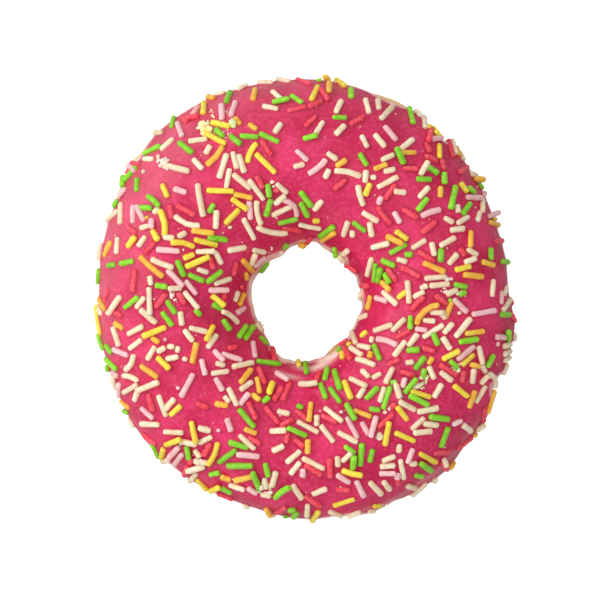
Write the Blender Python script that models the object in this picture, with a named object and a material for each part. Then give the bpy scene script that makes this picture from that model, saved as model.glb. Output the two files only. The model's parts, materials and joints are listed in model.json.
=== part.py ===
"""Sprinkle frosted ring doughnut: the fried dough ring and the coat of frosting over its upper half.

The doughnut lies flat with its hole along Z. The origin is in the middle of its outline, on the surface
that it rests on. Sizes are in metres and angles in degrees. Angles round the ring start at +X. Angles round
the ring's section start at its outer side, pass over the top at 90 and reach the hole at 180.
"""

import math

import bmesh
import bpy

# The ring of dough, which was stretched a little along one direction before it was fried.
RING_RADIUS = 0.0298
DOUGH_HALF_WIDTH = 0.01645
DOUGH_HEIGHT = 0.0283
WAIST_HEIGHT = 0.0126
FOOT_DEPTH = 0.0009
UPPER_FULLNESS = 2.15
LOWER_FULLNESS = 2.45
STRETCH = 0.034
STRETCH_DIRECTION = 106.0

# Uneven rising: how far a side or the top swells, how many swells go round, and where one of them lies.
OUTER_SWELLS = ((0.00042, 4, 46.0), (0.00030, 3, 70.0), (0.00038, 5, 65.0))
HOLE_SWELLS = ((0.00070, 1, 106.0), (0.00018, 2, 129.0), (0.00040, 4, 36.0), (0.00028, 5, 63.0))
TOP_SWELLS = ((0.00045, 2, 300.0), (0.00040, 3, 80.0), (0.00025, 5, 20.0))

# The coat of frosting, dipped from above, and the edges that it reaches on the section.
FROSTING_THICKNESS = 0.0011
FROSTING_GAP = 0.0003
OUTER_EDGE = 13.0
OUTER_EDGE_WAVES = ((4.5, 3, 58.0), (3.5, 5, 140.0), (2.0, 9, 20.0))
HOLE_EDGE = 168.0
HOLE_EDGE_WAVES = ((4.0, 2, 150.0), (3.0, 5, 100.0), (1.5, 7, 0.0))

# How finely the surfaces are divided.
RING_STEPS = 76
DOUGH_STEPS = 28
FROSTING_STEPS = 14
LIP_STEPS = 3

DOUGH_COLOUR = (0.62, 0.33, 0.11, 1.0)
FROSTING_COLOUR = (0.72, 0.045, 0.13, 1.0)


def waves(terms, ring_angle):
    """The sum of the given waves at an angle round the ring: each is its size, its count and a crest."""
    return sum(size * math.cos(math.radians(count * (ring_angle - crest))) for size, count, crest in terms)


def power(value, exponent):
    """A signed power, which turns a circle's coordinate into a fuller oval's."""
    return math.copysign(abs(value) ** exponent, value)


def dough_point(ring_angle, section_angle):
    """(distance from the ring's axis, height) of the dough's surface, before the ring is stretched."""
    across = math.cos(math.radians(section_angle))
    upward = math.sin(math.radians(section_angle))
    fullness = UPPER_FULLNESS if upward > 0 else LOWER_FULLNESS
    side = power(across, 2 / fullness)
    rise = power(upward, 2 / fullness)
    swells = OUTER_SWELLS if across > 0 else HOLE_SWELLS
    swell = waves(swells, ring_angle) * abs(across)
    distance = RING_RADIUS + side * (DOUGH_HALF_WIDTH + swell)
    if upward > 0:
        dome = DOUGH_HEIGHT - WAIST_HEIGHT + waves(TOP_SWELLS, ring_angle) * upward
    else:
        dome = WAIST_HEIGHT + FOOT_DEPTH
    return distance, max(0.0, WAIST_HEIGHT + rise * dome)


def offset_point(ring_angle, section_angle, offset):
    """The point that lies off the dough's surface by the given distance, square to it."""
    step = 1.0
    distance, height = dough_point(ring_angle, section_angle)
    before = dough_point(ring_angle, section_angle - step)
    after = dough_point(ring_angle, section_angle + step)
    along = (after[0] - before[0], after[1] - before[1])
    length = math.hypot(*along)
    return distance + offset * along[1] / length, height - offset * along[0] / length


def dough_section(ring_angle):
    return [dough_point(ring_angle, 360 * i / DOUGH_STEPS) for i in range(DOUGH_STEPS)]


def frosting_section(ring_angle):
    """The coat's section: over the top on its outside, round a lip, back along the dough, and round a lip."""
    outer_edge = OUTER_EDGE + waves(OUTER_EDGE_WAVES, ring_angle)
    hole_edge = HOLE_EDGE + waves(HOLE_EDGE_WAVES, ring_angle)
    middle = FROSTING_GAP + FROSTING_THICKNESS / 2
    half = FROSTING_THICKNESS / 2
    lip = math.degrees(half / DOUGH_HALF_WIDTH)

    def rounded_lip(edge, way):
        """The half circle that closes the coat at one edge, listed from its outside to its inside."""
        turns = [math.pi * i / (LIP_STEPS + 1) for i in range(1, LIP_STEPS + 1)]
        return [(edge + way * lip * math.sin(turn), middle + half * math.cos(turn)) for turn in turns]

    spread = [outer_edge + (hole_edge - outer_edge) * i / FROSTING_STEPS for i in range(FROSTING_STEPS + 1)]
    loop = [(angle, middle + half) for angle in spread]
    loop += rounded_lip(hole_edge, 1)
    loop += [(angle, middle - half) for angle in reversed(spread)]
    loop += reversed(rounded_lip(outer_edge, -1))
    return [offset_point(ring_angle, angle, offset) for angle, offset in loop]


def stretched(distance, height, ring_angle):
    """The place of a section's point in the stretched ring."""
    turn = math.radians(ring_angle - STRETCH_DIRECTION)
    along = distance * math.cos(turn) * (1 + STRETCH)
    across = distance * math.sin(turn) * (1 - STRETCH)
    back = math.radians(STRETCH_DIRECTION)
    x = along * math.cos(back) - across * math.sin(back)
    y = along * math.sin(back) + across * math.cos(back)
    return x, y, height


def finish(name, colour, roughness):
    material = bpy.data.materials.new(name)
    material.use_nodes = True
    shader = material.node_tree.nodes["Principled BSDF"]
    shader.inputs["Base Color"].default_value = colour
    shader.inputs["Roughness"].default_value = roughness
    material.diffuse_color = colour
    return material


def ring_object(name, section, material):
    """A closed ring that joins the section's loops at even steps round the ring."""
    build = bmesh.new()
    loops = []
    for i in range(RING_STEPS):
        ring_angle = 360 * i / RING_STEPS
        loops.append([build.verts.new(stretched(*point, ring_angle)) for point in section(ring_angle)])
    for loop, after in zip(loops, loops[1:] + loops[:1]):
        for j in range(len(loop)):
            k = (j + 1) % len(loop)
            build.faces.new((loop[j], after[j], after[k], loop[k]))
    bmesh.ops.recalc_face_normals(build, faces=build.faces)
    mesh = bpy.data.meshes.new(name)
    build.to_mesh(mesh)
    build.free()
    mesh.materials.append(material)
    mesh.shade_smooth()
    ring = bpy.data.objects.new(name, mesh)
    bpy.context.scene.collection.objects.link(ring)
    return ring


def centre(objects):
    """Moves the pieces together, so that the Z axis runs through the middle of the doughnut's outline."""
    corners = [vertex.co for ring in objects for vertex in ring.data.vertices]
    middle_x = (min(c.x for c in corners) + max(c.x for c in corners)) / 2
    middle_y = (min(c.y for c in corners) + max(c.y for c in corners)) / 2
    for ring in objects:
        ring.location = (-middle_x, -middle_y, 0)


for thing in list(bpy.data.objects):
    bpy.data.objects.remove(thing)

dough = ring_object("dough", dough_section, finish("dough_crust", DOUGH_COLOUR, 0.7))
frosting = ring_object("frosting", frosting_section, finish("pink_frosting", FROSTING_COLOUR, 0.35))
centre([dough, frosting])
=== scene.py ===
import json
import math

import bpy
import numpy as np
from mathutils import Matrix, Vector, noise
from mathutils.bvhtree import BVHTree
from mathutils.kdtree import KDTree


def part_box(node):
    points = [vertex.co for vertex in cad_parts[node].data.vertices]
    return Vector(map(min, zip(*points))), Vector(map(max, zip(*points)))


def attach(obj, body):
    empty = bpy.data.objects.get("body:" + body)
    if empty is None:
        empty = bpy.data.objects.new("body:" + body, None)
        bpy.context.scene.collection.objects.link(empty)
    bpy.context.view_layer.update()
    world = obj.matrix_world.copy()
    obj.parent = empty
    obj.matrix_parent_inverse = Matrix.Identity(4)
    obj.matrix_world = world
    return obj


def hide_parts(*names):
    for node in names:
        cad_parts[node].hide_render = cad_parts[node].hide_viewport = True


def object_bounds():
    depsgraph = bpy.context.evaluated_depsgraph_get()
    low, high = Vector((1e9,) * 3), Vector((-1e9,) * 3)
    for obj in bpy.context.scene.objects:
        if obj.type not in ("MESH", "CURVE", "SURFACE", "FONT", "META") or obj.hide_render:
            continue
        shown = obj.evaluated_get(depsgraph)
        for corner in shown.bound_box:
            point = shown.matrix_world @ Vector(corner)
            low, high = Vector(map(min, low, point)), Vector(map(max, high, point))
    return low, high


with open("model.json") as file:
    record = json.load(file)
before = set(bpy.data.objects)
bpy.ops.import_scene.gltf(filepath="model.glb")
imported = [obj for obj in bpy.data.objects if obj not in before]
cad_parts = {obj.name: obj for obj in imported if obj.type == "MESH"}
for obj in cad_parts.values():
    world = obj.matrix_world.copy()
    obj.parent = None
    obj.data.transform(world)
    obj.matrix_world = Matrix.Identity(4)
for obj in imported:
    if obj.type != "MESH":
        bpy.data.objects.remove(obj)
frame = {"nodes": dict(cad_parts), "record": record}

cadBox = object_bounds()
mm = 0.001
dice = np.random.default_rng(21)
print("frame loaded")


# general helpers

def pickOnly(thing):
    bpy.ops.object.select_all(action="DESELECT")
    thing.select_set(True)
    bpy.context.view_layer.objects.active = thing


def applyModifiers(thing):
    pickOnly(thing)
    for modifier in list(thing.modifiers):
        bpy.ops.object.modifier_apply(modifier=modifier.name)


def divide(thing, levels, kind="CATMULL_CLARK"):
    rounding = thing.modifiers.new("rounding", "SUBSURF")
    rounding.subdivision_type = kind
    rounding.levels = rounding.render_levels = levels
    applyModifiers(thing)


def readPoints(mesh):
    flat = np.empty(len(mesh.vertices) * 3)
    mesh.vertices.foreach_get("co", flat)
    return flat.reshape(-1, 3)


def writePoints(mesh, points):
    mesh.vertices.foreach_set("co", points.astype(np.float32).ravel())
    mesh.update()


def addValues(mesh, name, values):
    layer = mesh.attributes.new(name, "FLOAT", "POINT")
    layer.data.foreach_set("value", np.asarray(values, np.float32))


def bumps(points, size, octaves=1):
    # soft random hills of the given size, from about -1 to 1
    return np.array([noise.fractal(Vector(p) / size, 1.0, 2.0, octaves) for p in points])


def unit(vectors):
    return vectors / np.linalg.norm(vectors, axis=-1, keepdims=True)


def turnApart(a, b):
    # the shortest way between two angles in degrees
    return (np.asarray(a) - b + 180) % 360 - 180


# the skin of the dough: a rounded copy of the CAD solid is felt with rays from the middle of the ring's
# section, so every piece can be laid on it by its angle round the ring and its angle round the section

def roundedCopy(node):
    solid = bpy.data.objects.new(node + "Form", frame["nodes"][node].data.copy())
    bpy.context.scene.collection.objects.link(solid)
    pickOnly(solid)
    bpy.ops.object.mode_set(mode="EDIT")
    bpy.ops.mesh.select_all(action="SELECT")
    bpy.ops.mesh.remove_doubles(threshold=0.02 * mm)
    bpy.ops.mesh.tris_convert_to_quads()
    bpy.ops.object.mode_set(mode="OBJECT")
    divide(solid, 2)
    return solid


skin = {"around": 480, "section": 300, "waist": 0.43, "softness": 1.6}

holeLow, holeHigh = frame["record"]["physics"]["openings"][0]["box_m"]
axisX = (holeLow[0] + holeHigh[0]) / 2
axisY = (holeLow[1] + holeHigh[1]) / 2
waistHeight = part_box("dough")[1].z * skin["waist"]
farAway = (cadBox[1] - cadBox[0]).length

doughForm = roundedCopy("dough")
feeler = BVHTree.FromObject(doughForm, bpy.context.evaluated_depsgraph_get())
ringAngles = np.arange(skin["around"]) * math.tau / skin["around"]
sectionAngles = np.arange(skin["section"]) * math.tau / skin["section"]
axisPoint = Vector((axisX, axisY, waistHeight))


def soften(table, cells):
    # evens out the last facets of the solid; both directions of the table run round in a loop
    for side in range(2):
        waves = np.fft.fftfreq(table.shape[side])
        keep = np.exp(-2 * (math.pi * waves * cells) ** 2)
        keep = keep[:, None] if side == 0 else keep[None, :]
        table = np.fft.ifft(np.fft.fft(table, axis=side) * keep, axis=side).real
    return table


def feelSection(angle):
    out = Vector((math.cos(angle), math.sin(angle), 0))
    inner = (feeler.ray_cast(axisPoint, out)[0] - axisPoint).length
    outer = (feeler.ray_cast(axisPoint + out * farAway, -out)[0] - axisPoint).length
    core = (inner + outer) / 2
    start = axisPoint + out * core
    reach = []
    for turn in sectionAngles:
        way = out * math.cos(turn) + Vector((0, 0, math.sin(turn)))
        reach.append((feeler.ray_cast(start, way)[0] - start).length)
    return core, reach


felt = [feelSection(angle) for angle in ringAngles]
coreRadius = np.array([core for core, reach in felt])
skinReach = soften(np.array([reach for core, reach in felt]), skin["softness"])
bpy.data.objects.remove(doughForm)

outX, outY = np.cos(ringAngles)[:, None], np.sin(ringAngles)[:, None]
across = coreRadius[:, None] + skinReach * np.cos(sectionAngles)
skinPlace = np.stack([axisX + across * outX, axisY + across * outY,
                      waistHeight + skinReach * np.sin(sectionAngles)], axis=2)
ringWay = unit(np.roll(skinPlace, -1, 0) - np.roll(skinPlace, 1, 0))
sectionWay = unit(np.roll(skinPlace, -1, 1) - np.roll(skinPlace, 1, 1))
skinNormal = unit(np.cross(ringWay, sectionWay))
print("skin of the dough felt")


def readTable(table, ringAngle, sectionAngle):
    rows, columns = table.shape[:2]
    a = np.asarray(ringAngle) / math.tau * rows
    b = np.asarray(sectionAngle) / math.tau * columns
    a0, b0 = np.floor(a).astype(int), np.floor(b).astype(int)
    shareA, shareB = a - a0, b - b0
    if table.ndim == 3:
        shareA, shareB = shareA[..., None], shareB[..., None]
    near = table[a0 % rows, b0 % columns] * (1 - shareB) + table[a0 % rows, (b0 + 1) % columns] * shareB
    a1 = a0 + 1
    far = table[a1 % rows, b0 % columns] * (1 - shareB) + table[a1 % rows, (b0 + 1) % columns] * shareB
    return near * (1 - shareA) + far * shareA


def onSkin(ringAngle, sectionAngle, lift):
    place = readTable(skinPlace, ringAngle, sectionAngle)
    normal = unit(readTable(skinNormal, ringAngle, sectionAngle))
    return place + normal * np.asarray(lift)[..., None]


def sectionOf(points):
    # a point's angle round the ring, its angle round the section and its distance from the section's middle
    x, y = points[..., 0] - axisX, points[..., 1] - axisY
    ringAngle = np.arctan2(y, x)
    out = np.hypot(x, y) - np.interp(ringAngle, ringAngles, coreRadius, period=math.tau)
    up = points[..., 2] - waistHeight
    return ringAngle, np.arctan2(up, out), np.hypot(out, up)


# materials

def paint(red, green, blue):
    # a colour given in screen values, as the shader's linear values
    return tuple(((c / 255 + 0.055) / 1.055) ** 2.4 for c in (red, green, blue)) + (1.0,)


def socket(group, name, direction, kind, value=None):
    made = group.interface.new_socket(name=name, in_out=direction, socket_type=kind)
    if value is not None:
        made.default_value = value


def addNode(tree, kind, place, **settings):
    node = tree.nodes.new(kind)
    node.location = place
    for name, value in settings.items():
        setattr(node, name, value)
    return node


def buildUnevenTone():
    # blotches between two colours and a fine grain, shared by all of the doughnut's materials
    group = bpy.data.node_groups.new("unevenTone", "ShaderNodeTree")
    socket(group, "Colour", "INPUT", "NodeSocketColor")
    socket(group, "Blotch Colour", "INPUT", "NodeSocketColor")
    socket(group, "Blotch Size", "INPUT", "NodeSocketFloat", 0.006)
    socket(group, "Grain Size", "INPUT", "NodeSocketFloat", 0.0006)
    socket(group, "Mottle", "INPUT", "NodeSocketFloat", 0.1)
    socket(group, "Colour", "OUTPUT", "NodeSocketColor")
    socket(group, "Grain", "OUTPUT", "NodeSocketFloat")
    come = addNode(group, "NodeGroupInput", (-900, 0))
    leave = addNode(group, "NodeGroupOutput", (500, 0))
    where = addNode(group, "ShaderNodeTexCoord", (-900, 300))
    link = group.links.new
    fields = {}
    for row, (name, detail) in enumerate([("Blotch", 3), ("Grain", 2)]):
        scale = addNode(group, "ShaderNodeMath", (-700, 200 - 300 * row), operation="DIVIDE")
        scale.inputs[0].default_value = 1
        link(come.outputs[name + " Size"], scale.inputs[1])
        field = addNode(group, "ShaderNodeTexNoise", (-450, 200 - 300 * row))
        field.inputs["Detail"].default_value = detail
        link(where.outputs["Object"], field.inputs["Vector"])
        link(scale.outputs[0], field.inputs["Scale"])
        fields[name] = field
    spread = addNode(group, "ShaderNodeMapRange", (-200, 200))
    spread.inputs["From Min"].default_value = 0.35
    spread.inputs["From Max"].default_value = 0.65
    link(fields["Blotch"].outputs[0], spread.inputs["Value"])
    mix = addNode(group, "ShaderNodeMix", (100, 100), data_type="RGBA")
    link(spread.outputs[0], mix.inputs["Factor"])
    link(come.outputs["Colour"], mix.inputs[6])
    link(come.outputs["Blotch Colour"], mix.inputs[7])
    around = addNode(group, "ShaderNodeMath", (-200, -200), operation="SUBTRACT")
    around.inputs[1].default_value = 0.5
    value = addNode(group, "ShaderNodeMath", (0, -200), operation="MULTIPLY_ADD")
    value.inputs[2].default_value = 1
    mottled = addNode(group, "ShaderNodeHueSaturation", (300, 100))
    link(fields["Grain"].outputs[0], around.inputs[0])
    link(around.outputs[0], value.inputs[0])
    link(come.outputs["Mottle"], value.inputs[1])
    link(value.outputs[0], mottled.inputs["Value"])
    link(mix.outputs[2], mottled.inputs["Color"])
    link(mottled.outputs[0], leave.inputs["Colour"])
    link(fields["Grain"].outputs[0], leave.inputs["Grain"])
    return group


unevenTone = buildUnevenTone()


def startMaterial(name, look):
    material = bpy.data.materials.new(name)
    material.use_nodes = True
    material.diffuse_color = look["colour"]
    tree = material.node_tree
    shader = tree.nodes["Principled BSDF"]
    for socketName, value in look["shader"].items():
        shader.inputs[socketName].default_value = value
    tone = addNode(tree, "ShaderNodeGroup", (-900, 0), node_tree=unevenTone)
    tone.inputs["Colour"].default_value = look["colour"]
    tone.inputs["Blotch Colour"].default_value = look["blotch"]
    tone.inputs["Blotch Size"].default_value = look["blotchSize"]
    tone.inputs["Grain Size"].default_value = look["grainSize"]
    tone.inputs["Mottle"].default_value = look["mottle"]
    bump = addNode(tree, "ShaderNodeBump", (-300, -300))
    bump.inputs["Distance"].default_value = look["bump"]
    tree.links.new(tone.outputs["Grain"], bump.inputs["Height"])
    tree.links.new(bump.outputs["Normal"], shader.inputs["Normal"])
    return material, tree, shader, tone


# the coat of frosting: where its edges reach and how thick it lies

coat = {
    "around": 150, "section": 40, "levels": 2,
    "thickness": 1.4 * mm, "under": -0.25 * mm, "lipReach": 0.75 * mm,
    "edgeBead": 0.25 * mm, "beadWidth": 1.6 * mm,
    # the angles round the section that its edges reach, how far they wander, and how wide the wanderings are
    "outerEdge": 6, "holeEdge": 170, "edgeWander": 7, "wanderSizes": (0.55, 0.16),
    # places where it stops short: angle round the ring, degrees of the section left bare, half width
    "shortOutside": ((151, 15, 7), (139, 11, 7), (67, 17, 8), (52, 15, 5), (280, 14, 7), (294, 12, 4),
                     (336, 27, 6), (20, 6, 12), (228, 8, 14)),
    "shortInHole": ((298, 13, 17), (250, 12, 12), (125, 6, 9), (52, 10, 12), (180, 4, 16)),
    # places where it lies thicker or thinner: angle round the ring, half width, angle round the section, half
    # breadth and height
    "swells": ((174, 22, 165, 25, 0.8 * mm), (12, 22, 165, 25, -0.6 * mm), (121, 9, 165, 25, 1.0 * mm),
               (27, 6, 165, 25, -0.6 * mm), (355, 7, 165, 25, -0.6 * mm), (80, 8, 165, 25, -0.7 * mm),
               (250, 6, 165, 25, 0.5 * mm), (234, 4, 165, 25, -0.5 * mm), (275, 6, 165, 25, -0.5 * mm),
               (4, 7, 5, 25, -0.7 * mm), (354, 5, 5, 25, 0.5 * mm), (203, 15, 5, 25, -1.1 * mm),
               (181, 9, 5, 25, -0.4 * mm), (173, 5, 5, 25, -0.6 * mm), (162, 7, 5, 25, -0.5 * mm),
               (141, 9, 5, 25, 0.3 * mm), (300, 8, 5, 25, -0.6 * mm), (319, 6, 5, 25, -0.8 * mm),
               (75, 8, 5, 25, -0.5 * mm), (255, 10, 5, 25, -0.5 * mm), (307, 18, 165, 20, 0.6 * mm)),
    # places where it is thin and pale, and places of painted sheen and highlight, given in the same way with
    # a strength
    "thinAndSheen": ((178, 24, 168, 6, 0.6), (125, 10, 166, 7, 0.5), (12, 9, 162, 4, 0.7), (258, 9, 140, 2.5, 0.5),
             (282, 18, 153, 4, 0.9), (303, 22, 22, 3, 0.2), (305, 30, 6, 9, 0.1), (145, 55, 32, 28, 0.09)),
    # its last stretch at both edges, paler where the dough shows through and with a painted edge highlight,
    # more in some patches than in others
    "rim": {"outside": 0.9 * mm, "inHole": 1.9 * mm, "strength": 0.9, "sharpness": 6,
            "patchSize": 2.5 * mm, "patchMiddle": 0.8, "patchSpread": 0.6},
    # places painted deeper in colour: painted shade on slopes turned from the light, given in the same way as
    # the thin ones
    "shadedSlopes": ((192, 26, 128, 14, 0.45), (238, 20, 126, 12, 0.65), (100, 16, 130, 10, 0.2),
             (345, 80, 14, 16, 0.5)),
    # hills left as the frosting set: size and height, and how they calm down towards the edges
    "hills": ((13 * mm, 0.42 * mm), (6 * mm, 0.28 * mm), (2.6 * mm, 0.09 * mm)),
    "calmWidth": 3 * mm, "calmest": 0.25,
    "lipSteps": 6, "underSteps": 8,
    "seekSteps": 160,    # how finely the place below a point is sought between its edges
}


def edgeAngles(base, shorts, seed, way):
    # how far round the section the coat reaches, at each of the table's angles round the ring
    degrees = np.degrees(ringAngles)
    circle = np.stack([np.cos(ringAngles), np.sin(ringAngles), np.full_like(ringAngles, seed)], axis=1)
    wide, narrow = coat["wanderSizes"]
    edge = base + coat["edgeWander"] * (bumps(circle, wide) + 0.5 * bumps(circle, narrow))
    for place, depth, width in shorts:
        edge += way * depth * np.exp(-(turnApart(degrees, place) / width) ** 2)
    return np.radians(edge)


outerEdge = edgeAngles(coat["outerEdge"], coat["shortOutside"], seed=3.1, way=1)
holeEdge = edgeAngles(coat["holeEdge"], coat["shortInHole"], seed=7.7, way=-1)

hillMap = np.zeros_like(skinReach)
for hillSize, hillHeight in coat["hills"]:
    hillMap += hillHeight * bumps(skinPlace.reshape(-1, 3), hillSize).reshape(hillMap.shape)


def swelling(ringAngle, sectionAngle, places):
    rise = np.zeros(np.broadcast(ringAngle, sectionAngle).shape)
    for place, width, middle, breadth, height in places:
        beside = turnApart(np.degrees(ringAngle), place) / width
        above = turnApart(np.degrees(sectionAngle), middle) / breadth
        rise += height * np.exp(-beside ** 2 - above ** 2)
    return rise


swellMap = swelling(ringAngles[:, None], sectionAngles[None, :], coat["swells"])


def edgesAt(ringAngle):
    outside = np.interp(ringAngle, ringAngles, outerEdge, period=math.tau)
    inHole = np.interp(ringAngle, ringAngles, holeEdge, period=math.tau)
    return outside, inHole


def coatLift(ringAngle, sectionAngle):
    # height of the frosting's surface over the dough
    outside, inHole = edgesAt(ringAngle)
    reach = readTable(skinReach, ringAngle, sectionAngle)
    toEdge = np.minimum(sectionAngle - outside, inHole - sectionAngle) * reach
    bead = coat["edgeBead"] * np.exp(-(toEdge / coat["beadWidth"]) ** 2)
    calm = np.clip(toEdge / coat["calmWidth"], coat["calmest"], 1)
    hills = readTable(hillMap, ringAngle, sectionAngle) * calm
    return coat["thickness"] + bead + hills + readTable(swellMap, ringAngle, sectionAngle)


def layCoat(points):
    # turns the plain ring's own angles into places on the coat: round a lip, over the top, round the other
    # lip and back under
    ringAngle = np.arctan2(points[:, 1], points[:, 0])
    out = np.hypot(points[:, 0], points[:, 1]) - plainRing["majorRadius"]
    total = coat["section"] * 2 ** coat["levels"]
    step = (np.arctan2(points[:, 2], out) / math.tau * total) % total
    outside, inHole = edgesAt(ringAngle)
    lip, under = coat["lipSteps"], coat["underSteps"]
    topSteps = total - 2 * lip - under
    share = np.clip((step - lip) / topSteps, 0, 1)
    angle = outside + (inHole - outside) * share
    lift = coatLift(ringAngle, angle)
    reach = readTable(skinReach, ringAngle, angle)
    bulge = coat["lipReach"] / reach
    middle, half = (lift + coat["under"]) / 2, (lift - coat["under"]) / 2
    turn = np.pi * step / lip
    outerLip = step < lip
    angle = np.where(outerLip, outside - bulge * np.sin(turn), angle)
    lift = np.where(outerLip, middle - half * np.cos(turn), lift)
    turn = np.pi * (step - lip - topSteps) / lip
    holeLip = (step > lip + topSteps) & (step < total - under)
    angle = np.where(holeLip, inHole + bulge * np.sin(turn), angle)
    lift = np.where(holeLip, middle + half * np.cos(turn), lift)
    beneath = step >= total - under
    back = (step - (total - under)) / under
    angle = np.where(beneath, inHole + (outside - inHole) * back, angle)
    lift = np.where(beneath, coat["under"], lift)
    isTop = ~(outerLip | holeLip | beneath)
    return ringAngle, angle, lift, isTop


# a plain ring to start a piece from: every vertex is then moved by its two angles

plainRing = {"majorRadius": 30 * mm, "minorRadius": 15 * mm}


def startRing(name, around, section, levels):
    bpy.ops.object.select_all(action="DESELECT")
    bpy.ops.mesh.primitive_torus_add(major_segments=around, minor_segments=section, location=(0, 0, 0),
                                     major_radius=plainRing["majorRadius"],
                                     minor_radius=plainRing["minorRadius"])
    ring = bpy.context.object
    ring.name = ring.data.name = name
    divide(ring, levels)
    pickOnly(ring)
    bpy.ops.object.shade_smooth()
    return ring


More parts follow.
